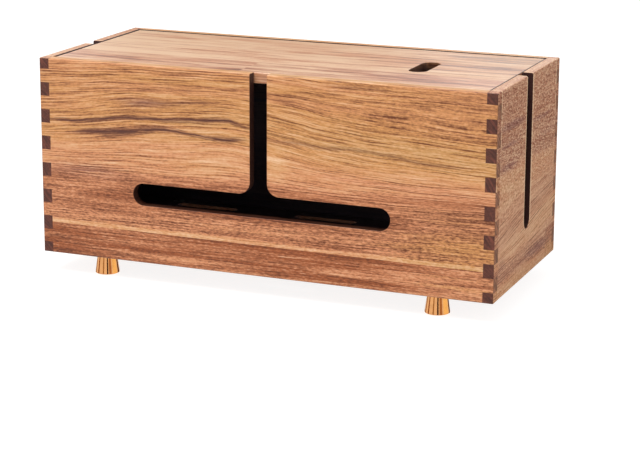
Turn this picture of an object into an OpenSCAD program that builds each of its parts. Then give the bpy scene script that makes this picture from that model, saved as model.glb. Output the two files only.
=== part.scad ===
// Wooden cable management box: a finger-jointed case on four brass feet, with a lift-off lid.
// Millimetres. X runs along the box, Y from front to back, Z up from the table.

/* [Case] */
// Length of the case, end face to end face
box_w = 310; // [240:5:420]
// Depth of the case, front face to back face
box_d = 135; // [110:5:180]
// Height of the walls, without the feet
box_h = 130; // [100:2:180]
// Thickness of the front and back boards
side_t = 7; // [5:0.5:10]
// Thickness of the two end boards
end_t = 7; // [5:0.5:10]
// Radius of the outer edges of the case
arris_r = 1.2; // [0.4:0.1:2]

/* [Finger joints] */
// Height of one full finger
finger_h = 8.9; // [6:0.1:14]

/* [Front cut-out] */
// Width of the upright slot
drop_slot_w = 11.5; // [8:0.5:20]
// Length of the level slot, over its round ends
cable_slot_l = 176; // [100:2:200]
// Height of the level slot
cable_slot_h = 14.5; // [8:0.5:24]
// Height of the level slot's lower edge above the lower edge of the walls
cable_slot_z = 38.3; // [24:0.1:50]
// Radius where the upright slot meets the level slot
tee_r = 8; // [2:0.5:14]

/* [End slots] */
// Width of the slot in each end board
end_slot_w = 12; // [8:0.5:20]
// Height of the slot's round bottom above the lower edge of the walls
end_slot_z = 31.5; // [16:0.5:60]

/* [Lid] */
// Thickness of the lid
lid_t = 7; // [5:0.5:10]
// Gap between the lid and the walls, all round
lid_gap = 0.7; // [0.3:0.1:1.5]
// How far the lid lies below the top edge of the walls
lid_drop = 0.3; // [0:0.1:2]
// Radius of the lid's edges
lid_edge_r = 0.8; // [0.3:0.1:1.5]
// Width of the finger hole
grip_w = 12; // [10:0.5:20]
// Length of the finger hole, over its round ends
grip_l = 37; // [30:1:60]
// Distance from the right end wall to the middle of the finger hole
grip_inset = 62.5; // [30:0.5:90]

/* [Lid rests] */
// Width of a rest, out from the end wall
rest_w = 8; // [5:0.5:12]
// Height of a rest
rest_h = 8; // [5:0.5:12]
// Length of a rest along the end wall
rest_l = 46; // [20:1:46]
// Radius of the rest's lower inner edge
rest_r = 3; // [1:0.5:4]

/* [Base board] */
// Thickness of the base board
base_t = 8; // [5:0.5:10]
// Thickness of the tongue round the base board's edge
tongue_t = 4; // [2:0.5:5]
// Depth of the groove in the walls
groove_deep = 3; // [1.5:0.5:4]
// Slack between the base board and the walls
base_gap = 0.1; // [0.05:0.05:0.3]
// Length of a vent, over its round ends
vent_l = 45; // [20:1:60]
// Width of a vent
vent_w = 7; // [5:0.5:12]
// Number of vents in a row
vent_n = 3; // [1:1:3]
// Distance from one vent to the next in a row
vent_pitch = 89; // [70:1:100]
// Distance from the middle of the box to a row of vents
vent_row_y = 46; // [20:1:47]

/* [Feet] */
// Height of a foot, from the table to the base board
foot_h = 16; // [14:0.5:24]
// Height of the walls' lower edge above the table
foot_show = 13.5; // [8:0.5:14]
// Diameter of a foot at the table
foot_base_d = 16.2; // [13:0.1:18]
// Diameter of a foot at the base board
foot_top_d = 11.8; // [8:0.2:12]
// Radius of a foot's lower edge
foot_edge_r = 0.5; // [0.3:0.1:1]
// Distance from the middle of a foot to the end face of the case
foot_inset_x = 40; // [20:0.5:60]
// Distance from the middle of a foot to the front or back face of the case
foot_inset_y = 13.5; // [13.5:0.5:30]

/* [Foot screws and pads] */
// Diameter of the screw's shank
screw_d = 4; // [3:0.5:5]
// Length of the screw, over its head
screw_l = 16; // [14:1:18]
// Diameter of the countersunk head
screw_head_d = 8; // [7:0.2:9]
// Width across the flats of the hexagon socket
screw_key = 2.5; // [2:0.5:3]
// Depth of the hexagon socket
screw_key_deep = 1.6; // [1:0.1:2]
// Radial clearance of the screw in the base board
screw_clear = 0.25; // [0.1:0.05:0.5]
// Radial clearance of the screw in the foot's tapped hole
thread_clear = 0.05; // [0.02:0.01:0.1]
// How far the tapped hole goes on past the screw's tip
thread_spare = 1.5; // [0.5:0.5:2]
// Diameter of the felt pad under a foot
pad_d = 11; // [6:0.5:12]
// Thickness of the felt pad
pad_t = 1.4; // [1:0.1:2]
// How far the pad stands out under the foot
pad_proud = 0.4; // [0.2:0.1:0.8]
// Slack round the pad in its recess
pad_gap = 0.1; // [0.05:0.05:0.3]

/* [Hidden] */
$fn = 64;
CUT = 1;                                       // how far a cutting body runs past the face that it cuts
HEAD_ANGLE = 45;                               // half angle of the countersunk head

wall_z = foot_show;                            // lower edge of the walls
top_z = wall_z + box_h;                        // top edge of the walls
base_z = foot_h;                               // underside of the base board
inner_w = box_w - 2 * end_t;
inner_d = box_d - 2 * side_t;

// Full fingers up a corner, always an odd number, with a part finger above and below them.
finger_full = 2 * floor(box_h / finger_h / 2) - 1;
finger_end_h = (box_h - finger_full * finger_h) / 2;
finger_count = finger_full + 2;
function finger_z(i) = i == 0 ? wall_z : wall_z + finger_end_h + (i - 1) * finger_h;
function finger_tall(i) = (i == 0 || i == finger_count - 1) ? finger_end_h : finger_h;
end_fingers = [for (i = [0:2:finger_count - 1]) i];      // fingers that belong to the end boards
side_fingers = [for (i = [1:2:finger_count - 2]) i];     // fingers that belong to the front and back

lid_w = inner_w - 2 * lid_gap;
lid_d = inner_d - 2 * lid_gap;
lid_z = top_z - lid_drop - lid_t;              // underside of the lid, which lies on the rests
grip_x = inner_w / 2 - grip_inset;

foot_x = box_w / 2 - foot_inset_x;
foot_y = box_d / 2 - foot_inset_y;
head_h = (screw_head_d - screw_d) / 2 / tan(HEAD_ANGLE);
screw_tip_z = base_z + base_t - screw_l;

FRONT = -1;
BACK = 1;
LEFT = -1;
RIGHT = 1;
// The four corners of the case, each with its place in words and its signs in X and Y.
CORNERS = [
    ["front_left", LEFT, FRONT], ["front_right", RIGHT, FRONT],
    ["back_left", LEFT, BACK], ["back_right", RIGHT, BACK]
];

// ---- shapes that repeat ----

// Rectangle with round corners, centred.
module rounded_rect(w, d, r) {
    square([w - 2 * r, d], center = true);
    square([w, d - 2 * r], center = true);
    for (x = [-1, 1], y = [-1, 1])
        translate([x * (w / 2 - r), y * (d / 2 - r)])
            circle(r);
}

// Slot with round ends, centred, its length along X.
module slot_2d(l, w) {
    square([l - w, w], center = true);
    for (x = [-1, 1])
        translate([x * (l - w) / 2, 0])
            circle(d = w);
}

// Block standing on z = 0, with every outer edge rounded.
module eased_block(w, d, h, r) {
    intersection() {
        linear_extrude(h)
            rounded_rect(w, d, r);
        translate([0, d / 2 + CUT, h / 2])
            rotate([90, 0, 0])
                linear_extrude(d + 2 * CUT)
                    rounded_rect(w, h, r);
        translate([-w / 2 - CUT, 0, h / 2])
            rotate([90, 0, 90])
                linear_extrude(w + 2 * CUT)
                    rounded_rect(d, h, r);
    }
}

// Outside of the whole case, which gives each wall its rounded edges.
module case_outside() {
    translate([0, 0, wall_z])
        eased_block(box_w, box_d, box_h, arris_r);
}

// Slab between two corners.
module slab(low, high) {
    translate(low)
        cube(high - low);
}

// The room that the listed fingers take in the four corners of the case.
module finger_room(fingers) {
    for (i = fingers, x = [LEFT, RIGHT], y = [FRONT, BACK])
        translate([x * (box_w - end_t) / 2, y * (box_d - side_t) / 2, finger_z(i) + finger_tall(i) / 2])
            cube([end_t, side_t, finger_tall(i)], center = true);
}

// Front or back board before its cut-outs: its face, its fingers and the groove for the base board.
module side_board(side) {
    outer = side * box_d / 2;
    inner = side * inner_d / 2;
    difference() {
        intersection() {
            slab([-box_w / 2, min(outer, inner), wall_z], [box_w / 2, max(outer, inner), top_z]);
            case_outside();
        }
        finger_room(end_fingers);
        base_groove();
    }
}

// End board before its slot.
module end_board(side) {
    outer = side * box_w / 2;
    inner = side * inner_w / 2;
    difference() {
        intersection() {
            slab([min(outer, inner), -box_d / 2, wall_z], [max(outer, inner), box_d / 2, top_z]);
            case_outside();
        }
        finger_room(side_fingers);
        base_groove();
    }
}

// Grooves in the four walls for the tongue of the base board. They stop short of the fingers.
module base_groove() {
    for (s = [[inner_w + 2 * groove_deep, inner_d], [inner_w, inner_d + 2 * groove_deep]])
        translate([-s[0] / 2, -s[1] / 2, base_z])
            cube([s[0], s[1], tongue_t + base_gap]);
}

// Places what follows at a corner's foot.
module at_foot(corner) {
    translate([corner[1] * foot_x, corner[2] * foot_y, 0])
        children();
}

// ---- the case ----

// The front's cut-out, seen from the front with z up: a level slot, an upright slot that runs out
// through the top edge, and a fillet on each side where they meet.
module tee_2d() {
    slot_mid = wall_z + cable_slot_z + cable_slot_h / 2;
    slot_top = slot_mid + cable_slot_h / 2;
    translate([0, slot_mid])
        slot_2d(cable_slot_l, cable_slot_h);
    translate([-drop_slot_w / 2, slot_mid])
        square([drop_slot_w, top_z + CUT - slot_mid]);
    for (x = [-1, 1])
        difference() {
            translate([x * (drop_slot_w + tee_r) / 2, slot_top + tee_r / 2 - CUT / 2])
                square([tee_r, tee_r + CUT], center = true);
            translate([x * (drop_slot_w / 2 + tee_r), slot_top + tee_r])
                circle(tee_r);
        }
}

module front_panel() {
    color("#c08a5a")
        difference() {
            side_board(FRONT);
            translate([0, -inner_d / 2 + CUT, 0])
                rotate([90, 0, 0])
                    linear_extrude(side_t + 2 * CUT)
                        tee_2d();
        }
}

module back_panel() {
    color("#b98355")
        side_board(BACK);
}

// Upright slot of an end board, open at the top and round at the bottom.
module end_slot(side) {
    bottom = wall_z + end_slot_z + end_slot_w / 2;
    translate([side * (box_w - end_t) / 2 - end_t / 2 - CUT, 0, 0])
        rotate([90, 0, 90])
            linear_extrude(end_t + 2 * CUT) {
                translate([0, bottom])
                    circle(d = end_slot_w);
                translate([-end_slot_w / 2, bottom])
                    square([end_slot_w, top_z + CUT - bottom]);
            }
}

module left_end_panel() {
    color("#a5745a")
        difference() {
            end_board(LEFT);
            end_slot(LEFT);
        }
}

module right_end_panel() {
    color("#a5745a")
        difference() {
            end_board(RIGHT);
            end_slot(RIGHT);
        }
}

// Base board: its tongue lies in the walls' grooves, and it carries the vents and the foot screws.
module bottom_panel() {
    slack = 2 * base_gap;
    color("#b07c52")
        difference() {
            union() {
                translate([-inner_w / 2 + base_gap, -inner_d / 2 + base_gap, base_z])
                    cube([inner_w - slack, inner_d - slack, base_t]);
                for (s = [[inner_w + 2 * groove_deep, inner_d], [inner_w, inner_d + 2 * groove_deep]])
                    translate([-s[0] / 2 + base_gap, -s[1] / 2 + base_gap, base_z])
                        cube([s[0] - slack, s[1] - slack, tongue_t]);
            }
            for (row = [-1, 1], i = [0:vent_n - 1])
                translate([(i - (vent_n - 1) / 2) * vent_pitch, row * vent_row_y, base_z - CUT])
                    linear_extrude(base_t + 2 * CUT)
                        slot_2d(vent_l, vent_w);
            for (c = CORNERS)
                at_foot(c)
                    screw_hole();
        }
}

// Clearance hole for a foot screw, countersunk from inside the box.
module screw_hole() {
    top = base_z + base_t;
    r = screw_d / 2 + screw_clear;
    head_r = screw_head_d / 2 + screw_clear;
    sink = (head_r - r) / tan(HEAD_ANGLE);
    translate([0, 0, base_z - CUT])
        cylinder(h = base_t + 2 * CUT, r = r);
    translate([0, 0, top - sink])
        cylinder(h = sink, r1 = r, r2 = head_r);
    translate([0, 0, top])
        cylinder(h = CUT, r = head_r);
}

// ---- the lid ----

module lid() {
    color("#cf9f7e")
        difference() {
            translate([0, 0, lid_z])
                eased_block(lid_w, lid_d, lid_t, lid_edge_r);
            translate([grip_x, 0, lid_z - CUT])
                rotate(90)
                    linear_extrude(lid_t + 2 * CUT)
                        slot_2d(grip_l, grip_w);
        }
}

// Glued strip in a corner of the case that the lid lies on. Its lower inner edge is rounded.
module lid_rest(corner) {
    color("#a87650")
        translate([corner[1] * inner_w / 2, corner[2] * inner_d / 2, lid_z - rest_h])
            mirror([corner[1] > 0 ? 1 : 0, 0, 0])
                mirror([0, corner[2] > 0 ? 1 : 0, 0])
                    translate([0, rest_l, 0])
                        rotate([90, 0, 0])
                            linear_extrude(rest_l) {
                                square([rest_w - rest_r, rest_h]);
                                translate([0, rest_r])
                                    square([rest_w, rest_h - rest_r]);
                                translate([rest_w - rest_r, rest_r])
                                    circle(rest_r);
                            }
}

// ---- the feet ----

// Turned brass foot, wider at the table, with a tapped hole above and a recess for the pad below.
module foot() {
    tall = foot_h - pad_proud;
    slope = atan((foot_base_d - foot_top_d) / 2 / tall);
    hole_r = screw_d / 2 + thread_clear;
    hole_deep = foot_h - screw_tip_z + thread_spare;
    edge_x = foot_base_d / 2 - foot_edge_r * tan(45 + slope / 2);
    color("#d98f4e")
        translate([0, 0, pad_proud])
            difference() {
                rotate_extrude() {
                    polygon([
                        [0, 0], [edge_x, 0],
                        for (a = [-90:15:slope]) [edge_x + foot_edge_r * cos(a), foot_edge_r * (1 + sin(a))],
                        [foot_top_d / 2, tall], [0, tall]
                    ]);
                }
                translate([0, 0, tall - hole_deep])
                    cylinder(h = hole_deep + CUT, r = hole_r);
                translate([0, 0, -CUT])
                    cylinder(h = CUT + pad_t - pad_proud, r = pad_d / 2 + pad_gap);
            }
}

// Countersunk screw with a hexagon socket, through the base board into the foot.
module foot_screw() {
    top = base_z + base_t;
    color("#b8b8bc")
        difference() {
            union() {
                translate([0, 0, screw_tip_z])
                    cylinder(h = screw_l - head_h / 2, r = screw_d / 2);
                translate([0, 0, top - head_h])
                    cylinder(h = head_h, r1 = screw_d / 2, r2 = screw_head_d / 2);
            }
            translate([0, 0, top - screw_key_deep])
                cylinder(h = screw_key_deep + CUT, d = screw_key / cos(30), $fn = 6);
        }
}

module foot_pad() {
    color("#3a3532")
        cylinder(h = pad_t, r = pad_d / 2);
}

// ---- the nodes ----

front_panel();
back_panel();
left_end_panel();
right_end_panel();
bottom_panel();
lid();
for (c = CORNERS) {
    lid_rest(c);
    at_foot(c) foot();
    at_foot(c) foot_screw();
    at_foot(c) foot_pad();
}
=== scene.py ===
"""Looks of a wooden cable management box: finger-jointed boards, a loose lid and four turned brass feet.

Laid out as an add-on and run as a script inside Blender. The scene is in metres, with +X along the box, +Y to
the back and +Z up from the table. The materials' rules are in millimetres.
"""

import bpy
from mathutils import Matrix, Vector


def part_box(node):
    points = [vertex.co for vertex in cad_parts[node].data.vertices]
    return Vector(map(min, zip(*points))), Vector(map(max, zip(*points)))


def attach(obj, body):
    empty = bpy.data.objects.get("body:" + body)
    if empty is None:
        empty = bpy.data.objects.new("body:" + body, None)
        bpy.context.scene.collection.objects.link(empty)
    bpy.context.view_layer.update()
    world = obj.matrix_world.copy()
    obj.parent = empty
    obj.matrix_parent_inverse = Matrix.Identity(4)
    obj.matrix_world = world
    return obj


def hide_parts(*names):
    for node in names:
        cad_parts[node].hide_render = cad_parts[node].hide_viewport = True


bl_info = {
    "name": "Cable box looks",
    "version": (1, 0, 0),
    "blender": (4, 5, 0),
    "location": "3D View > Sidebar > Cable Box",
    "description": "Finished boards, lid, feet and stage for a wooden cable management box",
    "category": "Object",
}

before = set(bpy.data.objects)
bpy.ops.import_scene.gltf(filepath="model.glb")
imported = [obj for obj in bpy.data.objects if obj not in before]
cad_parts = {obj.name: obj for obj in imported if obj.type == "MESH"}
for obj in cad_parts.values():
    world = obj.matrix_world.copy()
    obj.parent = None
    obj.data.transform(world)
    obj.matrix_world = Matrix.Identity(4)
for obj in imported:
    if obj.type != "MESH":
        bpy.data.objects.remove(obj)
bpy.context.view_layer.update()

import math
from typing import NamedTuple

import bmesh
import bpy
from bpy.props import FloatProperty, FloatVectorProperty, IntProperty, PointerProperty
from mathutils import Matrix, Vector

MM = 0.001
CORNERS = ("front_left", "front_right", "back_left", "back_right")

front_low, front_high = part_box("front_panel")
back_low, back_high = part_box("back_panel")
base_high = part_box("bottom_panel")[1]
lid_low, lid_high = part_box("lid")
foot_low, foot_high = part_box("foot_front_right")
pad_low, pad_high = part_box("foot_pad_front_right")
screw_low, screw_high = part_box("foot_screw_front_right")

WALL_Z = front_low.z / MM                       # lower edge of the walls
INNER_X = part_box("right_end_panel")[0].x / MM   # inner face of an end board
INNER_Y = back_low.y / MM                       # inner face of a side board
OUTER_X = front_high.x / MM
OUTER_Y = back_high.y / MM
SIDE_T = OUTER_Y - INNER_Y
TOP_Z = front_high.z / MM
BOARD_H = TOP_Z - WALL_Z


def tint(code):
    """A colour written as six hexadecimal digits, as linear red, green and blue."""
    parts = [int(code[i:i + 2], 16) / 255 for i in (0, 2, 4)]
    return tuple(p / 12.92 if p <= 0.04045 else ((p + 0.055) / 1.055) ** 2.4 for p in parts)


# ---- what a user would change ----


def colour_prop(name, description, code):
    return FloatVectorProperty(name=name, description=description, subtype="COLOR", size=3, min=0, max=1,
                               default=tint(code))


def length_prop(name, description, metres):
    return FloatProperty(name=name, description=description, subtype="DISTANCE", unit="LENGTH", min=0,
                         default=metres)


def share_prop(name, description, share):
    return FloatProperty(name=name, description=description, subtype="FACTOR", min=0, max=1, default=share)


class CableBoxWood(bpy.types.PropertyGroup):
    olive: colour_prop("Olive heartwood", "Ground colour of the greenest parts of a board", "c6985a")
    golden: colour_prop("Golden heartwood", "Ground colour of the yellow parts of a board", "d49456")
    rosy: colour_prop("Rosy heartwood", "Ground colour of the pink parts of a board", "da9265")
    russet: colour_prop("Russet heartwood", "Ground colour of the reddest parts of a board", "aa5c2f")
    pale: colour_prop("Sapwood", "Colour of the palest stripes", "f5cba4")
    smoky: colour_prop("Smoky heartwood", "Colour of the broad purple-brown clouds", "a26a5c")
    fibre: colour_prop("Dark fibre", "Colour of the fine dark dashes of the grain", "6b3417")
    streak: colour_prop("Dark streak", "Colour of the broad dark lines of the grain", "4d221b")
    end_fingers: colour_prop("End grain of the end boards", "Colour of their sawn ends", "5c2f22")
    side_fingers: colour_prop("End grain of the side boards", "Colour of their sawn ends", "936146")
    # Painted shade: the inside colour darkens the inner faces to stand for the unlit inside of the box, and
    # the cut shade darkens the slots' walls and the finger hole where little light reaches.
    painted_inside_shade: colour_prop("Inside", "Colour of the dark inner faces", "2a2c3c")
    inside: share_prop("Inside shade", "How far the inner faces take the inside colour", 0.94)
    cut: share_prop("Cut shade", "How far the slots' walls take the dark streak colour", 0.95)
    roughness: share_prop("Roughness", "Roughness of the oiled face", 0.42)
    arris: length_prop("Eased edge", "Width of the eased edge round slots, vents and the lid", 0.45 * MM)
    hairline: length_prop("Glue line", "Half the width of the hairline round each finger", 0.14 * MM)


class CableBoxFittings(bpy.types.PropertyGroup):
    brass: colour_prop("Brass", "Colour of the turned feet", "e9a86c")
    steel: colour_prop("Zinc", "Colour of the screws", "b9babd")
    felt: colour_prop("Felt", "Colour of the pads", "2b2725")
    foot_base: length_prop("Foot base diameter", "Diameter of a foot at the table", foot_high.x - foot_low.x)
    foot_top: length_prop("Foot top diameter", "Diameter of a foot at the base board", 11.8 * MM)
    foot_edge: length_prop("Foot edge radius", "Radius of a foot's lower edge", 0.5 * MM)
    recess: length_prop("Pad recess", "Depth of the recess for the pad", pad_high.z - foot_low.z)
    socket: length_prop("Screw socket", "Width across the flats of the hexagon socket", 2.5 * MM)
    segments: IntProperty(name="Turned segments", description="Segments round a turned part", min=12, max=256,
                          default=96)


class CableBoxStage(bpy.types.PropertyGroup):
    floor: colour_prop("Floor", "Colour of the floor", "f2f1ef")
    sky: FloatProperty(name="Room light", description="Strength of the even light", min=0, max=2,
                       default=0.6)
    key: FloatProperty(name="Key light", description="Power of the large front lamp", unit="POWER", min=0,
                       max=500, default=40)
    lens: FloatProperty(name="Lens", description="In millimetres", min=20, max=300, default=112.2)


# ---- node trees written as sums ----


def math_node(operation, swapped=False):
    """A method of Wire for a Math node of two values."""
    def method(self, other):
        values = (other, self) if swapped else (self, other)
        return self.graph.math(operation, *values)
    return method


class Wire:
    """A node's output. Sums on it add Math nodes."""
    __add__ = __radd__ = math_node("ADD")
    __sub__ = math_node("SUBTRACT")
    __rsub__ = math_node("SUBTRACT", swapped=True)
    __mul__ = __rmul__ = math_node("MULTIPLY")
    __truediv__ = math_node("DIVIDE")
    __pow__ = math_node("POWER")

    def __init__(self, graph, socket):
        self.graph, self.socket = graph, socket

    def __abs__(self):
        return self.graph.math("ABSOLUTE", self)


class Graph:
    """A node tree that is built one call at a time."""

    def __init__(self, tree):
        self.tree = tree
        tree.nodes.clear()

    def node(self, kind, settings=None, inputs=None, output=0):
        """Adds a node. stops and smooth are settings for a colour ramp, and items for an index switch."""
        made = self.tree.nodes.new(kind)
        for key, value in (settings or {}).items():
            if key == "stops":
                self.fill_ramp(made.color_ramp, value)
            elif key == "smooth":
                made.color_ramp.interpolation = "CARDINAL"
            elif key == "items":
                while len(made.index_switch_items) < value:
                    made.index_switch_items.new()
            else:
                setattr(made, key, value)
        for key, source in (inputs or {}).items():
            if isinstance(source, Wire):
                self.tree.links.new(source.socket, made.inputs[key])
            else:
                made.inputs[key].default_value = source
        return Wire(self, made.outputs[output]) if made.outputs else None

    def fill_ramp(self, ramp, stops):
        while len(ramp.elements) < len(stops):
            ramp.elements.new(1.0)
        for element, (place, value) in zip(ramp.elements, stops):
            element.position = place
            element.color = (*value, 1) if isinstance(value, (tuple, list)) else (value, value, value, 1)

    def vector(self, x, y, z):
        return self.node("ShaderNodeCombineXYZ", None, {0: x, 1: y, 2: z})

    def split(self, vector):
        """The X, Y and Z of a vector."""
        outputs = self.node("ShaderNodeSeparateXYZ", None, {0: vector}).socket.node.outputs
        return [Wire(self, output) for output in outputs]

    def math(self, operation, *values):
        return self.node("ShaderNodeMath", {"operation": operation}, dict(enumerate(values)))

    def step(self, value, low, high, smooth=True):
        """0 at low and 1 at high, level beyond them, and a smooth or straight rise between."""
        kind = "SMOOTHSTEP" if smooth else "LINEAR"
        return self.node("ShaderNodeMapRange", {"interpolation_type": kind}, {0: value, 1: low, 2: high})

    def bell(self, value, centre, half_width):
        """1 at the centre, down to 0 at half_width on both sides."""
        return 1 - self.step(abs(value - centre), 0.0, half_width)

    def maximum(self, a, b):
        return self.math("MAXIMUM", a, b)

    def greater(self, value, limit):
        """1 where value is over limit and 0 elsewhere."""
        return self.math("GREATER_THAN", value, limit)

    def noise(self, x, y, z, detail=2.0, rough=0.5):
        """Smooth noise, about 0.5 on average."""
        return self.node("ShaderNodeTexNoise", {"noise_dimensions": "3D"},
                         {"Vector": self.vector(x, y, z), "Scale": 1.0, "Detail": detail, "Roughness": rough})

    def ramp(self, value, stops):
        """Numbers or colours set out along value, from 0 to 1."""
        return self.node("ShaderNodeValToRGB", {"stops": stops}, {0: value})

    def path(self, along, points):
        """The height at each place along a smooth line through points."""
        (low, _), (high, _) = points[0], points[-1]
        bottom, top = min(y for _, y in points), max(y for _, y in points)
        stops = [((x - low) / (high - low), (y - bottom) / (top - bottom)) for x, y in points]
        share = self.step(along, low, high, smooth=False)
        height = self.node("ShaderNodeValToRGB", {"stops": stops, "smooth": True}, {0: share})
        return height * (top - bottom) + bottom

    def blend(self, factor, a, b):
        """Colour a where factor is 0 and b where it is 1."""
        a, b = ((*c, 1) if isinstance(c, tuple) else c for c in (a, b))
        settings = {"data_type": "RGBA", "clamp_factor": True}
        return self.node("ShaderNodeMix", settings, {0: factor, 6: a, 7: b}, output=2)


def new_material(name):
    material = bpy.data.materials.new(name)
    material.use_nodes = True
    return material, Graph(material.node_tree)


def finish_material(graph, inputs):
    shader = graph.node("ShaderNodeBsdfPrincipled", None, inputs)
    graph.node("ShaderNodeOutputMaterial", None, {"Surface": shader})


def object_place(graph):
    """Object coordinates in millimetres, one wire for each axis."""
    place = graph.node("ShaderNodeTexCoord", None, None, output=3)
    return [axis * (1 / MM) for axis in graph.split(place)]


# ---- wood ----
# u runs along a board's grain, v across its face and w through its thickness, all in millimetres.

FINGER_STEP = 8.9        # height of each full finger
FULL_FINGERS = 13        # full fingers up a corner
FINGER_FIRST = (BOARD_H - FULL_FINGERS * FINGER_STEP) / 2   # height of the lowest and topmost fingers
LEVEL_SLOT = 176.0       # length of the front board's level slot
END_SLOT = 12.0          # width of the end boards' slots
SLOT_FLOOR = 25.0        # a height over the walls' lower edge, below every slot
HOLE_X = INNER_X - 62.5  # middle of the lid's finger hole

# Glue lines between the staves: heights over the walls' lower edge, and places across the lid
SIDE_GLUE = 20.4
END_GLUE = (20.5, 103.7)
LID_GLUE = (-26.0, 15.0)
END_BUTT = 45.0          # butt joint in the lowest stave of an end board
LID_BUTT = -17.0         # butt joint in the front stave of the lid

# Dark lines of the front board: places along it, heights over the walls' lower edge, half widths of the core
UPPER_STREAK = ((-149, 90.2, 0.3), (-117, 92.2, 0.5), (-93, 95.0, 0.6), (-62, 96.0, 0.6), (-35, 98.0, 0.9),
                (-20, 98.8, 0.7), (-7, 95.5, 0.5))
LOWER_STREAK = ((-132, 83.2, 0.4), (-104, 85.2, 1.7), (-86, 86.6, 1.5), (-67, 89.4, 1.0), (-40, 87.6, 0.4),
                (-24, 86.5, 1.2), (-9, 87.5, 0.5))
RIGHT_STREAK = ((5, 88.7, 0.9), (43, 86.9, 0.6), (67, 87.1, 0.6), (85, 85.8, 0.4), (106, 83.4, 0.4),
                (135, 82.9, 0.3))
HIGH_STREAK = ((48, 126.4, 0.3), (60, 126.2, 0.5), (74, 126.0, 0.4), (91, 125.2, 0.2))
SMOKE_STREAK = ((-96, 104.5, 0.5), (-80, 106.2, 1.3), (-66, 106.8, 1.0), (-30, 109.5, 0.3))
# The front board's streaks and how dark each one is
FRONT_STREAKS = ((UPPER_STREAK, 1.0), (LOWER_STREAK, 1.0), (RIGHT_STREAK, 0.38), (HIGH_STREAK, 0.4),
                 (SMOKE_STREAK, 0.4))
# How far the grain lines of the front board rise and fall along it
DRIFT = ((-155, -7.0), (-117, -3.5), (-93, 0.0), (-62, 1.5), (-20, 3.5), (5, 1.0), (35, -4.0), (66, -7.5),
         (106, -9.5), (155, -11.5))
# Fall of an end board's grain lines towards the back, at each height
END_TILT = ((0, 0.0), (20, -0.04), (38, -0.12), (60, 0.0), (82, 0.12), (98, 0.05), (130, 0.0))

# Soft ovals: middle, half sizes and strength
FRONT_PALE = (((12, 72), (14, 16), 0.2), ((-40, 92), (30, 5), 0.15), ((-34, 68), (34, 14), 0.12),
              ((-142, 42), (34, 9), 0.12), ((122, 47), (40, 9), 0.09))
FRONT_SMOKE = (((-122, 58), (48, 8), 0.6), ((-80, 106), (30, 4.5), 0.6))
END_PURPLE = (((-36, 104.0), (44, 4.5), 0.7), ((25, 99.5), (46, 3.0), 0.56), ((-40, 92.5), (34, 2.6), 0.56),
              ((-45, 79.0), (34, 5.0), 0.7), ((40, 88.0), (30, 4.0), 0.35), ((-52, 20.0), (12, 7.0), 0.42),
              ((25, 13.0), (40, 6.5), 0.7))
LID_SMOKE = (((-85, 19), (80, 6), 0.5),)


class Grain(NamedTuple):
    """How strongly each kind of mark shows on a board, from broad bands to fine specks."""
    band: float = 0.3
    stripe: float = 0.18
    fibre: float = 2.4
    line: float = 0.37
    speck: float = 0.8
    grit: tuple = (0.45, 1.0)   # specks per millimetre along and across the grain
    edge: float = 0.22          # how much paler the narrow faces are


END_GRAIN = Grain(band=0.2, stripe=0.5, fibre=1.7, line=0.95, speck=1.2, grit=(0.35, 1.0), edge=0.1)
LID_GRAIN = Grain(band=0.9, stripe=2.5, fibre=2.0, line=0.3, speck=0.6, edge=-0.3)


class Figure(NamedTuple):
    """A point's place among the growth rings and the colour of the wood there."""
    line: object          # distance across the grain, in millimetres
    tone: object          # 0 darkest, 0.5 plain, 1 palest
    hue: object           # 0 olive to 1 russet
    dark: object          # dark streaks
    smoke: object         # purple-brown clouds
    short: object = 0.3   # 0 long fibres, 1 short ones


def shade(colour, factor):
    return tuple(min(1.0, c * factor) for c in colour)


def grain_marks(g, wood, u, w, ring, grit, seed):
    """How far a point lies in each kind of mark, from broad bands to fine specks."""
    band = g.noise(u * 0.004, ring * 0.085, w * 0.02 + seed, 2) - 0.5
    stripe = g.noise(u * 0.012, ring * 0.36, w * 0.05 + seed + 3.1, 3, 0.6) - 0.5
    long_fibre = g.noise(u * 0.035, ring * 1.15, w * 0.7 + seed + 5.7, 3, 0.7)
    short_fibre = g.noise(u * 0.33, ring * 1.2, w + seed + 6.6, 2, 0.6)
    fibre = long_fibre + (short_fibre - long_fibre) * wood.short - 0.5
    bend = g.noise(u * 0.016, ring * 0.3, w * 0.2 + seed + 9.3, 2) * 9
    crest = (g.math("SINE", ring * 3.7 + bend) * 0.5 + 0.5) ** 2
    broken = g.step(g.noise(u * 0.03, ring * 0.8, w * 0.2 + seed + 4.9, 1), 0.4, 0.65)
    line = (crest * broken - 0.12) * (wood.short - 1)
    speck = (g.noise(u * grit[0], ring * grit[1], w + seed + 7.9, 1) - 0.5) * (wood.short + 0.3)
    return band, stripe, fibre, line, speck


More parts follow.
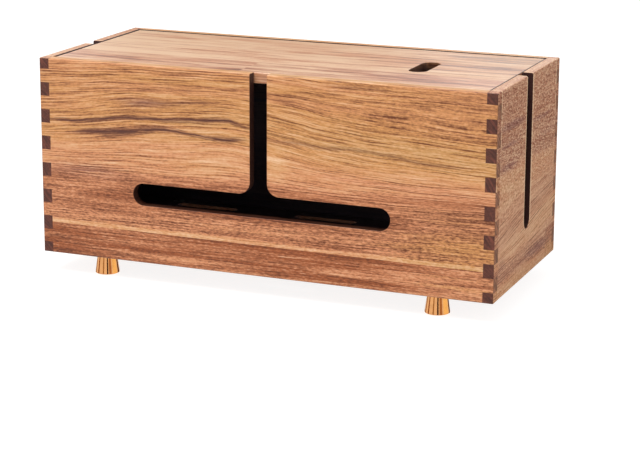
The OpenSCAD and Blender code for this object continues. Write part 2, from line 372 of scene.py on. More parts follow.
def board_wood(name, look, axes, start, figure, end, shading, seed=0.0, grain=Grain(), coat=0.22):
    """Oiled acacia with the figure's rings. u, v and w lie on axes. end is the colour of the end grain.

    shading gives how far a point counts as an inner face, as a slot's wall and as a dark hairline. The first
    two are painted shade; the hairline is real glue lines round the fingers plus painted shade along edges
    and beside the lid's ends."""
    material, g = new_material(name)
    place = object_place(g)
    order = ["XYZ".index(axis) for axis in axes]
    u, v, w = (place[i] - offset for i, offset in zip(order, start))
    normal = g.split(g.node("ShaderNodeTexCoord", None, None, output=1))
    along, upward, through = (abs(normal[i]) for i in order)
    sawn = g.step(along, 0.55, 0.85)
    edge = g.step(upward, 0.6, 0.9)
    wood = figure(g, u, v, w)
    ring = wood.line + w * 0.35
    band, stripe, fibre, line, speck = grain_marks(g, wood, u, w, ring, grain.grit, seed)
    marks = band * grain.band + stripe * grain.stripe + fibre * grain.fibre + line * grain.line
    tone = wood.tone + marks + speck * (1 - edge) * grain.speck + edge * grain.edge
    hue = wood.hue - band * 0.6 - stripe * 0.5 - fibre * 0.4 - edge * 0.15

    ground = g.ramp(hue, [(0.0, tuple(look.olive)), (0.33, tuple(look.golden)), (0.66, tuple(look.rosy)),
                          (1.0, tuple(look.russet))])
    ground = g.blend(wood.smoke, ground, tuple(look.smoky))
    face = g.blend(g.step(tone, 0.5, 0.0, smooth=False), ground, tuple(look.fibre))
    face = g.blend(g.step(tone, 0.5, 1.2, smooth=False), face, tuple(look.pale))
    face = g.blend(wood.dark, face, tuple(look.streak))

    cell = g.noise(v * 0.7, w * 0.7, u * 0.5 + seed, 3, 0.7)
    growth = g.noise(ring * 0.4 + w * 0.3, w * 0.12, seed + 2.0, 2)
    end_colours = [(0.3, shade(end, 0.4)), (0.5, shade(end, 1.1)), (0.7, shade(end, 2.5))]
    colour = g.blend(sawn, face, g.ramp(cell * 0.35 + growth * 0.65, end_colours))
    # Painted shade: inner faces take the dark inside colour, slots' walls darken towards the dark streak
    # colour, and the hairline mask darkens edges as well as the glue lines.
    inner, wall, glue = shading(g, *place)
    wall = wall * (1 - g.step(through, 0.3, 0.7))
    colour = g.blend(g.maximum(wall * look.cut, glue), colour, shade(look.streak, 0.45))
    colour = g.blend(inner * look.inside, colour, tuple(look.painted_inside_shade))

    rough = look.roughness + fibre * 0.3 - line * 0.1 + sawn * 0.2
    relief = fibre * 0.6 + line * 0.4 + stripe * 0.3 + sawn * cell * 1.5
    bump = g.node("ShaderNodeBump", None, {"Strength": 0.3, "Distance": 0.12 * MM, "Height": relief})
    finish_material(g, {"Base Color": colour, "Roughness": rough, "Normal": bump, "Specular IOR Level": 0.35,
                        "Coat Weight": coat, "Coat Roughness": 0.35})
    return material


def ripple(g, u, v, w, slow, quick, seed):
    """How far the grain strays across the board: long slow waves and short ones, in millimetres."""
    long_wave = g.noise(u * 0.008, v * 0.02, w * 0.02 + seed, 1)
    short_wave = g.noise(u * 0.04, v * 0.12, w * 0.1 + seed + 4.4, 2)
    return (long_wave - 0.5) * (2 * slow) + (short_wave - 0.5) * (2 * quick)


def streak(g, u, v, points, seed):
    """A dark line of the grain through points, as fine dark veins and as the soft cloud that they lie in."""
    first, last = points[0][0], points[-1][0]
    width = g.path(u, [(x, wide) for x, _, wide in points])
    course = g.path(u, [(x, height) for x, height, _ in points])
    off = v - course + (g.noise(u * 0.05, seed + 3.3, 0.0, 2) - 0.5) * 2
    run = g.step(u, first - 8, first + 15) * (1 - g.step(u, last - 12, last + 6))
    beat = g.noise(u * 0.045, seed + 7.1, 0.0, 2)
    middle = g.bell(off, 0.0, width * 0.7 + 0.45) * g.step(beat, 0.25, 0.5)
    above = g.bell(off, width + 0.8, 0.55) * g.step(beat, 0.46, 0.58)
    below = g.bell(off, width * -1 - 0.9, 0.55) * (1 - g.step(beat, 0.42, 0.54))
    texture = g.noise(u * 0.08, off * 1.5, seed, 2, 0.6)
    body = g.bell(off, 0.0, width * 1.8 + 0.3) * g.step(texture, 0.34, 0.54) * 0.9
    cloud = g.bell(off, 0.0, width * 2.2 + 1.1) * run
    return g.maximum(g.maximum(middle, body), (above + below) * 0.75) * run, cloud


def streaks(g, u, v, drawn):
    """Veins and clouds of several streaks. drawn gives the points and the strength of each."""
    veins, clouds = 0.0, 0.0
    for seed, (points, strength) in enumerate(drawn):
        vein, cloud = streak(g, u, v, points, seed + 1.0)
        veins, clouds = vein * strength + veins, cloud * strength + clouds
    return veins, clouds


def patches(g, u, v, drawn):
    """The sum of several soft ovals, each strongest in its middle."""
    total = 0.0
    for middle, half, strength in drawn:
        across, up = (u - middle[0]) / half[0], (v - middle[1]) / half[1]
        total = (1 - g.step((across * across + up * up) ** 0.5, 0.0, 1.0)) * strength + total
    return total


def glue_lines_and_edge_shade(g, reach, v, width, first_row):
    """Dark glue hairlines round the fingers, and painted shade on the lower and outer edges. reach is how far
    the corner is.

    The other board's fingers fill every second row. first_row is the row line over the lowest of them."""
    row = (v - FINGER_FIRST) / FINGER_STEP
    off = abs(row - g.math("ROUND", row)) * FINGER_STEP
    finger = SIDE_T + 0.1
    pair = row * 0.5 - first_row * 0.5 + 0.25
    other = 1 - g.greater(abs(pair - g.math("ROUND", pair)), 0.25)
    across = g.bell(off, 0.0, width) * (1 - g.step(reach, finger, finger + 0.1))
    # Painted shade: a dark line along the lower edge and along the outer corner edge.
    painted_edge_shade = (1 - g.step(v, 0.2, 0.9)) * 0.4 + (1 - g.step(reach, 0.3, 0.9)) * 0.25
    return (across + g.bell(reach, finger, width) * other) * 0.5 + painted_edge_shade


def side_zones(g, along, line, rise):
    """Tone and hue up a front or back board: a low plank, a pale stripe, a quiet middle and a golden top."""
    plank = 1 - g.step(rise, SIDE_GLUE - 0.15, SIDE_GLUE + 0.15)
    stripe = (1 - g.step(rise, SIDE_GLUE + 1.6, SIDE_GLUE + 3.6)) * (1 - plank)
    glue = g.bell(rise, SIDE_GLUE - 0.2, 0.4)
    sweep = plank * (g.noise(along * 0.007, rise * 0.22, 31.0, 2, 0.6) - 0.5)
    height = line / BOARD_H
    tone = g.ramp(height, [(0.0, 0.355), (0.15, 0.355), (0.2, 0.32), (0.36, 0.31), (0.42, 0.35), (0.5, 0.47),
                           (0.6, 0.55), (0.68, 0.51), (0.8, 0.44), (1.0, 0.44)])
    hue = g.ramp(height, [(0.0, 0.75), (0.2, 0.75), (0.36, 0.85), (0.45, 0.72), (0.58, 0.55), (0.67, 0.3),
                          (0.73, 0.25), (0.85, 0.36), (1.0, 0.45)])
    tone = tone + stripe * 0.36 - glue * 0.12 + plank * (sweep * 0.5 + along * 0.0004)
    return tone, hue + plank * 0.2 - stripe * 0.3 - sweep * 1.1


def front_figure(g, u, v, w):
    """Front board: its grain climbs to the upright slot and falls away again, with streaks on both sides."""
    rise = v + u * 0.0045
    v = v + ripple(g, u, v, w, 1.5, 0.8, 0.0) * g.step(v, 22.0, 34.0)
    upper = g.step(v, 52.0, 84.0) * (1 - 0.6 * g.step(v, 100.0, 122.0))
    line = v - g.path(u, DRIFT) * upper
    tone, hue = side_zones(g, u, line, rise)
    veins, clouds = streaks(g, u, v, FRONT_STREAKS)
    pale = patches(g, u, v, FRONT_PALE)
    mottle = g.noise(u * 0.03, v * 0.8, 17.0, 3, 0.7) * 3 - 0.7
    smoke = patches(g, u, v, FRONT_SMOKE) * mottle
    low_right = g.step(u, 50.0, 140.0) * (1 - g.step(v, 50.0, 60.0))
    high_right = g.step(u, 35.0, 90.0) * g.step(v, 84.0, 104.0)
    tone = tone + pale - high_right * 0.06 - clouds * 0.26 - smoke * 0.12
    hue = hue - low_right * 0.3 - pale
    short = g.ramp(v / BOARD_H, [(0.0, 0.4), (0.15, 0.4), (0.2, 0.45), (0.36, 0.4), (0.5, 0.2), (1.0, 0.1)])
    return Figure(line, tone, hue, veins * 0.95, smoke + clouds * 0.4, short + high_right * 0.12)


def back_figure(g, u, v, w):
    """Back board: like the front one, with its grain turned about."""
    rise = v - u * 0.0045
    v = v + ripple(g, u, v, w, 1.5, 0.8, 11.0) * g.step(v, 22.0, 34.0)
    line = v - g.path(u * -1, DRIFT) * g.step(v, 52.0, 84.0)
    tone, hue = side_zones(g, u, line, rise)
    short = g.ramp(v / BOARD_H, [(0.0, 0.2), (0.2, 0.6), (0.5, 0.2), (1.0, 0.1)])
    veins, clouds = streaks(g, u * -1, v, [(RIGHT_STREAK, 0.8)])
    return Figure(line, tone - clouds * 0.3, hue, veins, clouds * 0.8, short)


def end_zones(g, height):
    """Tone, hue, smoke and shortness of the fibres up an end board."""
    tone = g.ramp(height, [(0.0, 0.68), (0.06, 0.68), (0.09, 0.6), (0.14, 0.62), (0.17, 0.74), (0.25, 0.76),
                           (0.32, 0.66), (0.335, 0.8), (0.35, 0.66), (0.55, 0.68), (0.7, 0.62), (0.77, 0.58),
                           (0.8, 0.57), (1.0, 0.6)])
    hue = g.ramp(height, [(0.0, 0.35), (0.07, 0.4), (0.1, 0.72), (0.15, 0.6), (0.19, 0.42), (0.25, 0.42),
                          (0.32, 0.65), (0.42, 0.6), (0.5, 0.45), (0.58, 0.45), (0.63, 0.75), (0.72, 0.75),
                          (0.8, 0.6), (1.0, 0.6)])
    smoke = g.ramp(height, [(0.0, 0.1), (0.06, 0.1), (0.09, 0.45), (0.14, 0.45), (0.18, 0.1), (0.26, 0.15),
                            (0.34, 0.35), (0.42, 0.3), (0.5, 0.15), (0.57, 0.2), (0.62, 0.5), (0.7, 0.4),
                            (0.74, 0.55), (0.77, 0.35), (0.8, 0.45), (1.0, 0.5)])
    short = g.ramp(height, [(0.0, 0.6), (0.16, 0.5), (0.22, 0.2), (0.36, 0.3), (0.5, 0.9), (1.0, 0.9)])
    return tone, hue, smoke, short


def end_figure(g, u, v, w, seed=0.0):
    """End board: three staves and purple-brown bands. The middle stave's lines close up towards the back."""
    low_glue, high_glue = END_GLUE
    upper = g.step(v, high_glue - 0.3, high_glue + 0.2)
    lower = 1 - g.step(v, low_glue - 0.5, low_glue)
    butt = lower * g.step(u, END_BUTT - 0.5, END_BUTT + 0.5)
    line = v + u * g.path(v, END_TILT) + ripple(g, u, v, w, 1.3, 0.5, seed)
    tone, hue, smoke, short = end_zones(g, line / BOARD_H)
    purple = patches(g, u, v + u * 0.03, END_PURPLE)
    glue = g.bell(v, high_glue, 0.4) * g.step(u, -8.0, 8.0) + g.bell(v, low_glue, 0.3) * g.step(u, 40.0, 46.0)
    glue = glue + g.bell(u, END_BUTT, 0.4) * lower
    # Painted highlight: rim lightens a narrow band on each side of the slot, above its floor, where the eased
    # edges catch the light.
    rim = g.bell(abs(u), END_SLOT / 2 + 1.0, 1.2) * g.step(v, 33.0, 37.0)
    # A pale line along the finger shoulders, from 70 to 105 mm up.
    pale_shoulder_line = g.bell(abs(u), INNER_Y - 0.8, 0.9) * g.step(v, 70.0, 105.0)
    corner = g.step(abs(u), INNER_Y - 0.3, INNER_Y + 0.3)
    light = pale_shoulder_line * 0.7 + rim * 0.8 - glue * 0.2 - purple * 0.25 - butt * 0.14 - corner * 0.16
    line = line + upper * 31 + butt * 17
    return Figure(line, tone + light + 0.04, hue + 0.12, 0.0, smoke + purple + 0.08, short)


def lid_figure(g, u, v, w):
    """Lid: three staves along it, and a butt joint in the front one. Their rings are cut broad."""
    front_glue, back_glue = LID_GLUE
    front = 1 - g.greater(v, front_glue)
    back = g.greater(v, back_glue)
    right = front * g.greater(u, LID_BUTT)
    line = (v + ripple(g, u, v, w, 2.5, 0.8, 21.0)) * 0.45 + front * 37 + back * 71 + right * 23
    # Painted sheen and shade: the lid is paler towards its left end and darker towards its right end.
    painted_left_sheen = 1 - g.step(u, -145.0, -30.0)
    painted_right_shade = g.step(u, 25.0, 135.0)
    glue = g.bell(v, front_glue, 0.5) + g.bell(v, back_glue, 0.5)
    tone = 1.04 - front * 0.46 + right * 0.24 - back * 0.11 - glue * 0.15
    tone = tone - painted_right_shade * (0.5 - front * 0.34) + painted_left_sheen * (0.3 - front * 0.46)
    hue = 0.66 - back * 0.08 + front * 0.1 - painted_right_shade * 0.22
    return Figure(line, tone, hue, 0.0, patches(g, u, v, LID_SMOKE) + front * 0.15 + 0.12, 0.1)


def stave_figure(width, seed):
    """Plain staves of equal width."""
    def figure(g, u, v, w):
        stave = g.math("FLOOR", v / width)
        shift = g.noise(stave * 3.7 + seed, 0.5, 0.0, 0)
        line = v + stave * 29 + ripple(g, u, v, w, 2.5, 0.7, seed)
        return Figure(line, 0.46 + (shift - 0.5) * 0.3, shift, 0.0, 0.4)
    return figure


def inner_face(g, x, y):
    """1 on the walls' faces that look into the box, which take the painted inside shade."""
    near, far = 0.1, 0.5
    between_ends = 1 - g.step(abs(x), INNER_X + near, INNER_X + far)
    between_sides = 1 - g.step(abs(y), INNER_Y + near, INNER_Y + far)
    return between_ends * between_sides


def slot_room(g, across, half, z):
    """1 in the stretch of a wall that holds its slots, short of its top: where the slots' walls take painted
    shade.
    """
    floor = WALL_Z + SLOT_FLOOR
    upright = g.step(z, floor, floor + 2) * (1 - g.step(z, TOP_Z - 0.6, TOP_Z - 0.3))
    return (1 - g.step(abs(across), half, half + 2)) * upright


# Painted shade for the side and end boards: inner faces, slots' walls and edges, along with the real glue
# lines.
def side_shading(look):
    return lambda g, x, y, z: (inner_face(g, x, y), slot_room(g, x, LEVEL_SLOT / 2 + 12, z),
                               glue_lines_and_edge_shade(g, OUTER_X - abs(x), z - WALL_Z, look.hairline / MM, 0))


def end_shading(look):
    return lambda g, x, y, z: (inner_face(g, x, y), slot_room(g, y, END_SLOT / 2 + 6, z),
                               glue_lines_and_edge_shade(g, OUTER_Y - abs(y), z - WALL_Z, look.hairline / MM, 1))


def lid_shading(g, x, y, z):
    """Painted shade: the finger hole's wall is dark, darker further down, and a painted shadow hairline lies
    on the lid's top along each of its ends, beside the gap.
    """
    low, top, end = lid_low.z / MM, lid_high.z / MM, lid_high.x / MM
    deep = 0.55 + 0.45 * (1 - g.step(z, low + 2.0, top - 1.0))
    hole = (1 - g.step(abs(x - HOLE_X), 8.0, 10.0)) * (1 - g.step(abs(y), 20.0, 24.0))
    # Painted shadow of the gap between the lid and the end boards.
    hairline = g.step(abs(x), end - 0.9, end - 0.3) * g.step(z, top - 0.5, top - 0.2)
    return 0.0, hole * deep, hairline * 0.8


def base_shading(g, x, y, z):
    """Painted shade: the upper face takes the dark inside colour, the upright faces take a little slot shade,
    and the vents' walls darken towards the upper face.
    """
    top = base_high.z / MM
    return g.maximum(g.step(z, top - 0.3, top - 0.05), g.step(z, top - 5.0, top - 3.0) * 0.42), 0.3, 0.0


def rest_shading(g, x, y, z):
    """The whole of a lid rest is inside the box, so all of it takes the painted inside shade."""
    return 1.0, 0.0, 0.0


# ---- pieces ----


def keep(piece, body, slot, *nodes):
    """Says which body a finished piece rides on and hides the CAD nodes that it stands for. slot, its
    material slot, is not used.
    """
    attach(piece, body)
    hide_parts(*nodes)


def add_object(name, mesh):
    piece = bpy.data.objects.new(name, mesh)
    bpy.context.scene.collection.objects.link(piece)
    return piece


def settle(piece):
    """Turns what the modifiers make into the piece's own plain mesh."""
    bpy.context.view_layer.update()
    shown = piece.evaluated_get(bpy.context.evaluated_depsgraph_get())
    mesh = bpy.data.meshes.new_from_object(shown)
    mesh.name = piece.name
    piece.modifiers.clear()
    piece.data = mesh


def whole_faces(node):
    """A copy of a CAD node's mesh, with doubles merged and flat neighbours joined."""
    bm = bmesh.new()
    bm.from_mesh(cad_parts[node].data)
    bmesh.ops.remove_doubles(bm, verts=bm.verts, dist=0.002 * MM)
    bmesh.ops.dissolve_limit(bm, angle_limit=math.radians(0.4), verts=bm.verts, edges=bm.edges)
    bm.verts.index_update()
    places = [v.co.copy() for v in bm.verts]
    faces = [[v.index for v in f.verts] for f in bm.faces]
    bm.free()
    mesh = bpy.data.meshes.new(node)
    mesh.from_pydata(places, [], faces)
    return mesh


SHARP = math.radians(32)   # edges that turn less than this are left smooth


def in_joint(point):
    """True in the four corner columns, where the fingers are."""
    slack = 0.05
    return abs(point.x) / MM > INNER_X - slack and abs(point.y) / MM > INNER_Y - slack


def eased_board(node, look, material, body="case", slot="side_boards", flush=in_joint):
    """A board with eased outer edges. Edges stay sharp where flush says so for both of their ends."""
    mesh = whole_faces(node)
    bm = bmesh.new()
    bm.from_mesh(mesh)
    weight = bm.edges.layers.float.new("bevel_weight_edge")
    for edge in bm.edges:
        turn = edge.calc_face_angle_signed(0.0)
        eased = turn > SHARP and not all(flush(vert.co) for vert in edge.verts)
        edge[weight] = 1.0 if eased else 0.0
        edge.smooth = eased or abs(turn) < SHARP
    for face in bm.faces:
        face.smooth = True
    bm.to_mesh(mesh)
    bm.free()
    mesh.materials.append(material)
    piece = add_object("eased_" + node, mesh)
    bevel = piece.modifiers.new("eased edges", "BEVEL")
    bevel.limit_method = "WEIGHT"
    bevel.width = look.arris
    bevel.segments = 2
    bevel.use_clamp_overlap = False
    bevel.harden_normals = True
    bevel.miter_outer = "MITER_ARC"
    settle(piece)
    keep(piece, body, slot, node)


def turned_mesh(g, points, segments):
    """Turns a section about the Z axis. Each point of the section is a radius and a height."""
    ring_size = segments + 1
    grid = g.node("GeometryNodeMeshGrid", None, {"Vertices X": len(points), "Vertices Y": ring_size})
    index = g.node("GeometryNodeInputIndex")
    step = g.math("FLOOR", index / ring_size)
    turn = (index - step * ring_size) * (2 * math.pi / segments)
    corners = {0: step}
    corners.update({i + 1: g.vector(radius, 0.0, height) for i, (radius, height) in enumerate(points)})
    section = g.node("GeometryNodeIndexSwitch", {"data_type": "VECTOR", "items": len(points)}, corners)
    radius, _, height = g.split(section)
    place = g.vector(radius * g.math("COSINE", turn), radius * g.math("SINE", turn), height)
    shaped = g.node("GeometryNodeSetPosition", None, {"Geometry": grid, "Position": place})
    return g.node("GeometryNodeMergeByDistance", None, {"Geometry": shaped, "Distance": 0.001 * MM})


def corner_tree(name, sizes, build):
    """A geometry tree that sets one part at each of four corners. build takes the sizes in their order."""
    tree = bpy.data.node_groups.new(name, "GeometryNodeTree")
    tree.interface.new_socket("Geometry", in_out="OUTPUT", socket_type="NodeSocketGeometry")
    g = Graph(tree)
    sockets = {}
    for label in ["Spacing X", "Spacing Y", *sizes]:
        item = tree.interface.new_socket(label, in_out="INPUT", socket_type="NodeSocketFloat")
        item.subtype = "DISTANCE"
        sockets[label] = item.identifier
    finish = tree.interface.new_socket("Material", in_out="INPUT", socket_type="NodeSocketMaterial")
    sockets["Material"] = finish.identifier
    group = g.node("NodeGroupInput").socket.node
    given = {label: Wire(g, group.outputs[label]) for label in sockets}
    part = build(g, *(given[label] for label in sizes))
    spacing = {"Size X": given["Spacing X"], "Size Y": given["Spacing Y"], "Vertices X": 2, "Vertices Y": 2}
    corners = g.node("GeometryNodeMeshGrid", None, spacing)
    placed = g.node("GeometryNodeInstanceOnPoints", None, {"Points": corners, "Instance": part})
    real = g.node("GeometryNodeRealizeInstances", None, {"Geometry": placed})
    dressed = g.node("GeometryNodeSetMaterial", None, {"Geometry": real, "Material": given["Material"]})
    g.node("NodeGroupOutput", None, {0: dressed})
    return tree, sockets


def corner_parts(name, sizes, build, material, sharp, slot, node):
    """Builds a part at the four corners, as one piece that stands for four CAD nodes.

    Edges that turn more than sharp degrees stay sharp."""
    tree, sockets = corner_tree(name, sizes, build)
    piece = add_object(name, bpy.data.meshes.new(name))
    modifier = piece.modifiers.new(name, "NODES")
    modifier.node_group = tree
    spacing = {"Spacing X": foot_low.x + foot_high.x, "Spacing Y": -(foot_low.y + foot_high.y)}
    for label, value in {**spacing, **sizes, "Material": material}.items():
        modifier[sockets[label]] = value
    settle(piece)
    bm = bmesh.new()
    bm.from_mesh(piece.data)
    bmesh.ops.recalc_face_normals(bm, faces=bm.faces)
    for face in bm.faces:
        face.smooth = True
    bm.to_mesh(piece.data)
    bm.free()
    piece.data.set_sharp_from_angle(angle=math.radians(sharp))
    keep(piece, "case", slot, *(f"{node}_{corner}" for corner in CORNERS))


# ---- operators ----

# Cards that only reflections show: the angle from the front towards the right, half the angle that a card
# spans as the box sees it, and its colour
CARDS = (
    (-66, 7, (0.29, 0.09, 0.02)),
    (-15, 6, (0.42, 0.27, 0.12)),
    (25, 7, (0.04, 0.01, 0.0)),
    (52, 12, (0.5, 0.3, 0.17)),
    (103, 26, (1.15, 1.1, 0.72)),
    (157, 16, (0.12, 0.06, 0.03)),
    (205, 8, (0.1, 0.05, 0.02)),
    (250, 10, (0.4, 0.25, 0.12)),
)


class CABLEBOX_OT_camera(bpy.types.Operator):
    """Sets the camera in front of the box, a little to the right and above it"""
    bl_idname = "cable_box.camera"
    bl_label = "Camera"

    def execute(self, context):
        azimuth, elevation, roll = math.radians(22.63), math.radians(13.17), math.radians(0.15)
        place = Vector((490.71, -1178.28, 365.74)) * MM
        data = bpy.data.cameras.new("camera")
        data.sensor_width = 36.0
        data.lens = context.scene.cable_box_stage.lens
        data.shift_x, data.shift_y = 0.0328, -0.0844
        data.clip_start, data.clip_end = 0.02, 60.0
        camera = add_object("camera", data)
        level = math.cos(elevation)
        forward = Vector((-math.sin(azimuth) * level, math.cos(azimuth) * level, -math.sin(elevation)))
        turn = forward.to_track_quat("-Z", "Y").to_matrix().to_4x4() @ Matrix.Rotation(roll, 4, "Z")
        camera.matrix_world = Matrix.Translation(place) @ turn
        context.scene.camera = camera
        return {"FINISHED"}


class CABLEBOX_OT_stage(bpy.types.Operator):
    """Makes the floor, the white room, the key lamp and the cards that the brass reflects"""
    bl_idname = "cable_box.stage"
    bl_label = "Stage"

    def execute(self, context):
        look = context.scene.cable_box_stage
        self.room(context.scene, look)
        self.floor(look)
        self.lamp("key", look.key, place=(-0.45, -0.95, 2.3), size=1.3)
        for number, card in enumerate(CARDS):
            self.card(f"card_{number}", *card)
        return {"FINISHED"}

    def shown_directly(self, g):
        """1 for rays from the camera, and for reflected and refracted ones."""
        rays = g.node("ShaderNodeLightPath").socket.node.outputs
        kinds = ("Camera", "Glossy", "Transmission")
        camera, glossy, refracted = (Wire(g, rays[f"Is {kind} Ray"]) for kind in kinds)
        return g.maximum(g.maximum(camera, glossy), refracted)

    def room(self, scene, look):
        world = bpy.data.worlds.new("room")
        world.use_nodes = True
        scene.world = world
        g = Graph(world.node_tree)
        strength = look.sky + (1.0 - look.sky) * self.shown_directly(g)
        light = g.node("ShaderNodeBackground", None, {"Color": (1, 1, 1, 1), "Strength": strength})
        g.node("ShaderNodeOutputWorld", None, {"Surface": light})
        scene.view_settings.view_transform = "Standard"

    def floor(self, look):
        material, g = new_material("floor")
        direct = self.shown_directly(g)
        glow_share, glow_strength = 0.62, 1.4
        matt = g.node("ShaderNodeBsdfDiffuse", None, {"Color": (*look.floor, 1)})
        glow = g.node("ShaderNodeEmission", None, {"Color": (1, 1, 1, 1), "Strength": glow_strength})
        clear = g.node("ShaderNodeBsdfTransparent")
        lit = g.node("ShaderNodeMixShader", None, {0: direct * glow_share, 1: matt, 2: glow})
        from_below = g.node("ShaderNodeNewGeometry", None, None, output=6)
        shown = g.node("ShaderNodeMixShader", None, {0: from_below, 1: lit, 2: clear})
        g.node("ShaderNodeOutputMaterial", None, {"Surface": shown})
        half, drop = 14.0, 0.2 * MM
        mesh = bpy.data.meshes.new("floor")
        corners = [(x * half, y * half, -drop) for x, y in ((-1, -1), (1, -1), (1, 1), (-1, 1))]
        mesh.from_pydata(corners, [], [(0, 1, 2, 3)])
        mesh.materials.append(material)
        floor = add_object("floor", mesh)
        floor.visible_glossy = False

    def lamp(self, name, power, place, size):
        data = bpy.data.lights.new(name, "AREA")
        data.energy, data.size = power, size
        lamp = add_object(name, data)
        target = Vector((0, 0, 0.07))
        aim = target - Vector(place)
        lamp.matrix_world = Matrix.Translation(place) @ aim.to_track_quat("-Z", "Y").to_matrix().to_4x4()

    def card(self, name, angle, spread, colour):
        """An upright card on a circle round the box, seen only in reflections."""
        material, g = new_material(name)
        plain = g.node("ShaderNodeEmission", None, {"Color": (*colour, 1), "Strength": 1.0})
        g.node("ShaderNodeOutputMaterial", None, {"Surface": plain})
        turn, far, low, high = math.radians(angle), 2.4, -1.1, 1.1
        centre = Vector((math.sin(turn), -math.cos(turn), 0)) * far
        side = Vector((math.cos(turn), math.sin(turn), 0)) * far * math.tan(math.radians(spread))
        left, right = centre - side, centre + side
        corners = ((left, low), (right, low), (right, high), (left, high))
        mesh = bpy.data.meshes.new(name)
        mesh.from_pydata([(p.x, p.y, z) for p, z in corners], [], [(0, 1, 2, 3)])
        mesh.materials.append(material)
        card = add_object(name, mesh)
        for ray in ("camera", "diffuse", "shadow", "transmission", "volume_scatter"):
            setattr(card, "visible_" + ray, False)


class CABLEBOX_OT_walls(bpy.types.Operator):
    """Dresses the front, back and end boards with eased edges and wood"""
    bl_idname = "cable_box.walls"
    bl_label = "Walls"

    def execute(self, context):
        look = context.scene.cable_box_wood
        start = (0.0, WALL_Z, 0.0)
        side, end = tuple(look.side_fingers), tuple(look.end_fingers)
        front = board_wood("front_wood", look, "XZY", start, front_figure, side, side_shading(look), 0.0)
        back = board_wood("back_wood", look, "XZY", start, back_figure, side, side_shading(look), 40.0)
        left = board_wood("left_end_wood", look, "YZX", start, lambda *at: end_figure(*at, seed=17.0), end,
                          end_shading(look), 80.0, END_GRAIN)
        right = board_wood("right_end_wood", look, "YZX", start, end_figure, end, end_shading(look), 120.0,
                           END_GRAIN)
        eased_board("front_panel", look, front)
        eased_board("back_panel", look, back)
        eased_board("left_end_panel", look, left, slot="end_boards")
        eased_board("right_end_panel", look, right, slot="end_boards")
        return {"FINISHED"}


class CABLEBOX_OT_lid(bpy.types.Operator):
    """Dresses the loose lid, which lifts straight out"""
    bl_idname = "cable_box.lid"
    bl_label = "Lid"

    def execute(self, context):
        look = context.scene.cable_box_wood
        end = tuple(look.side_fingers)
        material = board_wood("lid_wood", look, "XYZ", (0.0, 0.0, 0.0), lid_figure, end, lid_shading, 160.0,
                              LID_GRAIN, coat=1.0)
        eased_board("lid", look, material, body="lid", slot="lid_board")
        return {"FINISHED"}


class CABLEBOX_OT_base(bpy.types.Operator):
    """Dresses the vented base board and the four lid rests"""
    bl_idname = "cable_box.base"
    bl_label = "Base and lid rests"

    def execute(self, context):
        look = context.scene.cable_box_wood
        end = tuple(look.end_fingers)
        start = (0.0, 0.0, 0.0)
        base = board_wood("base_wood", look, "XYZ", start, stave_figure(42.0, 5.0), end, base_shading, 200.0)
        rest = board_wood("rest_wood", look, "YZX", start, stave_figure(90.0, 9.0), end, rest_shading, 240.0)
        eased_board("bottom_panel", look, base, slot="inner_wood")
        for corner in CORNERS:
            eased_board("lid_rest_" + corner, look, rest, slot="inner_wood", flush=lambda point: False)
        return {"FINISHED"}


class CABLEBOX_OT_feet(bpy.types.Operator):
    """Turns the four brass feet"""
    bl_idname = "cable_box.feet"
    bl_label = "Feet"

    def execute(self, context):
        look = context.scene.cable_box_fittings
        room = 0.1 * MM
        sizes = {
            "Foot bottom": foot_low.z,
            "Foot top": foot_high.z,
            "Base radius": look.foot_base / 2,
            "Top radius": look.foot_top / 2,
            "Edge radius": look.foot_edge,
            "Recess radius": (pad_high.x - pad_low.x) / 2 + room,
            "Recess depth": look.recess,
        }
        corner_parts("feet", sizes, lambda g, *given: self.turned_foot(g, look.segments, *given),
                     self.brass(look), 30, "polished_brass", "foot")
        return {"FINISHED"}

    def turned_foot(self, g, segments, low, high, base, top, edge, recess, deep):
        mouth, rim = 0.15 * MM, 0.12 * MM
        centre_r, centre_z = base - edge, low + edge
        section = [(0.0, low + deep), (recess, low + deep), (recess, low + mouth), (recess + mouth, low)]
        for degrees in range(-90, 8, 14):
            turn = math.radians(degrees)
            section.append((centre_r + edge * math.cos(turn), centre_z + edge * math.sin(turn)))
        near_r, near_z = section[-1]
        for share in (0.06, 0.94, 0.99):
            section.append((near_r + (top - near_r) * share, near_z + (high - near_z) * share))
        section += [(top - rim, high), (0.0, high)]
        return turned_mesh(g, section, segments)

    def brass(self, look):
        """Polished brass with fine turning lines and a few handling marks."""
        material, g = new_material("polished_brass")
        x, y, z = object_place(g)
        middle = [(foot_low[i] + foot_high[i]) / 2 / MM for i in (0, 1)]
        across, deep = abs(x) - middle[0], abs(y) + middle[1]
        radius = (across * across + deep * deep) ** 0.5
        turning = g.noise(z * 9.0, radius * 9.0, 1.0, 3, 0.7)
        marks = g.noise(x * 0.35, y * 0.35, z * 0.35, 3)
        brass = tuple(look.brass)
        colour = g.ramp(marks, [(0.3, shade(brass, 0.9)), (0.5, brass), (0.75, shade(brass, 1.05))])
        rough = 0.07 + turning * 0.05 + g.step(marks, 0.55, 0.75) * 0.05
        bump = g.node("ShaderNodeBump", None, {"Strength": 0.08, "Distance": 0.02 * MM, "Height": turning})
        finish_material(g, {"Base Color": colour, "Metallic": 1.0, "Roughness": rough, "Normal": bump})
        return material


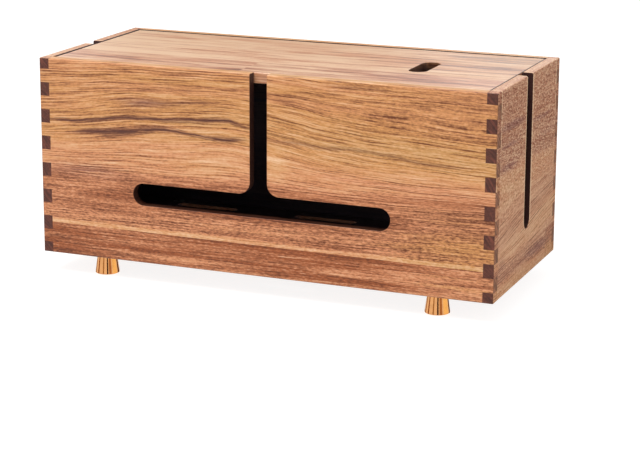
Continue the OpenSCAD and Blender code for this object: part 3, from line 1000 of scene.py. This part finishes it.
class CABLEBOX_OT_foot_fixings(bpy.types.Operator):
    """Makes the countersunk foot screws and the felt pads"""
    bl_idname = "cable_box.foot_fixings"
    bl_label = "Foot screws and pads"

    def execute(self, context):
        look = context.scene.cable_box_fittings
        head = (screw_high.x - screw_low.x) / 2
        screw = {"Screw tip": screw_low.z, "Screw top": screw_high.z, "Shank radius": head / 2,
                 "Head radius": head, "Socket width": look.socket}
        corner_parts("foot_screws", screw, lambda g, *given: self.screw(g, look.segments // 2, *given),
                     self.zinc(look), 30, "zinc_steel", "foot_screw")
        pad = {"Pad bottom": pad_low.z, "Pad top": pad_high.z, "Pad radius": (pad_high.x - pad_low.x) / 2}
        corner_parts("foot_pads", pad, lambda g, *given: self.pad(g, look.segments, *given),
                     self.felt(look), 50, "felt", "foot_pad")
        return {"FINISHED"}

    def screw(self, g, segments, tip, top, shank, head, socket):
        chamfer, rim, socket_depth = 0.5 * MM, 0.12 * MM, 1.6 * MM
        section = [(0.0, tip), (shank - chamfer, tip), (shank, tip + chamfer), (shank, top - (head - shank)),
                   (head - rim, top - rim), (head, top - rim / 2), (head - rim, top), (0.0, top)]
        body = turned_mesh(g, section, segments)
        across_corners = socket / math.cos(math.radians(30))
        hexagon = {"Vertices": 6, "Radius": across_corners / 2, "Depth": socket_depth * 2}
        tool = g.node("GeometryNodeMeshCylinder", None, hexagon)
        place = g.vector(0.0, 0.0, top)
        tool = g.node("GeometryNodeTransform", None, {"Geometry": tool, "Translation": place})
        meshes = {"Mesh 1": body, "Mesh 2": tool}
        return g.node("GeometryNodeMeshBoolean", {"operation": "DIFFERENCE"}, meshes)

    def pad(self, g, segments, low, high, radius):
        chamfer = 0.25 * MM
        section = [(0.0, low), (radius * 0.5, low), (radius - chamfer, low), (radius, low + chamfer),
                   (radius, high), (0.0, high)]
        return turned_mesh(g, section, segments)

    def zinc(self, look):
        """Zinc plate, a little cloudy."""
        material, g = new_material("zinc_plate")
        x, y, z = object_place(g)
        cloud = g.noise(x * 0.9, y * 0.9, z * 0.9, 3)
        steel = tuple(look.steel)
        colour = g.ramp(cloud, [(0.3, shade(steel, 0.8)), (0.6, steel)])
        bump = g.node("ShaderNodeBump", None, {"Strength": 0.1, "Distance": 0.02 * MM, "Height": cloud})
        rough = 0.28 + cloud * 0.2
        finish_material(g, {"Base Color": colour, "Metallic": 1.0, "Roughness": rough, "Normal": bump})
        return material

    def felt(self, look):
        """Pressed felt with short tangled fibres."""
        material, g = new_material("pressed_felt")
        x, y, z = object_place(g)
        fibre = g.noise(x * 4.0, y * 4.0, z * 4.0, 4, 0.8)
        felt = tuple(look.felt)
        colour = g.ramp(fibre, [(0.35, shade(felt, 0.6)), (0.65, shade(felt, 1.7))])
        bump = g.node("ShaderNodeBump", None, {"Strength": 0.6, "Distance": 0.1 * MM, "Height": fibre})
        finish_material(g, {"Base Color": colour, "Roughness": 0.95, "Normal": bump, "Sheen Weight": 0.2})
        return material


class CABLEBOX_PT_panel(bpy.types.Panel):
    """Lists the steps that build the box"""
    bl_idname = "CABLEBOX_PT_panel"
    bl_label = "Cable Box"
    bl_space_type = "VIEW_3D"
    bl_region_type = "UI"
    bl_category = "Cable Box"

    def draw(self, context):
        for step in STEPS:
            self.layout.operator(step.bl_idname)
        for group in GROUPS:
            look = getattr(context.scene, group)
            for prop in look.__annotations__:
                self.layout.prop(look, prop)


STEPS = (CABLEBOX_OT_camera, CABLEBOX_OT_stage, CABLEBOX_OT_walls, CABLEBOX_OT_lid, CABLEBOX_OT_base,
         CABLEBOX_OT_feet, CABLEBOX_OT_foot_fixings)
GROUPS = {"cable_box_wood": CableBoxWood, "cable_box_fittings": CableBoxFittings,
          "cable_box_stage": CableBoxStage}
CLASSES = (*GROUPS.values(), *STEPS, CABLEBOX_PT_panel)


def register():
    for made in CLASSES:
        bpy.utils.register_class(made)
    for name, group in GROUPS.items():
        setattr(bpy.types.Scene, name, PointerProperty(type=group))


def unregister():
    for name in GROUPS:
        delattr(bpy.types.Scene, name)
    for made in reversed(CLASSES):
        bpy.utils.unregister_class(made)


def main():
    register()
    bpy.ops.cable_box.camera()
    bpy.ops.cable_box.stage()
    bpy.ops.cable_box.walls()
    bpy.ops.cable_box.lid()
    bpy.ops.cable_box.base()
    bpy.ops.cable_box.feet()
    bpy.ops.cable_box.foot_fixings()


if __name__ == "__main__":
    main()
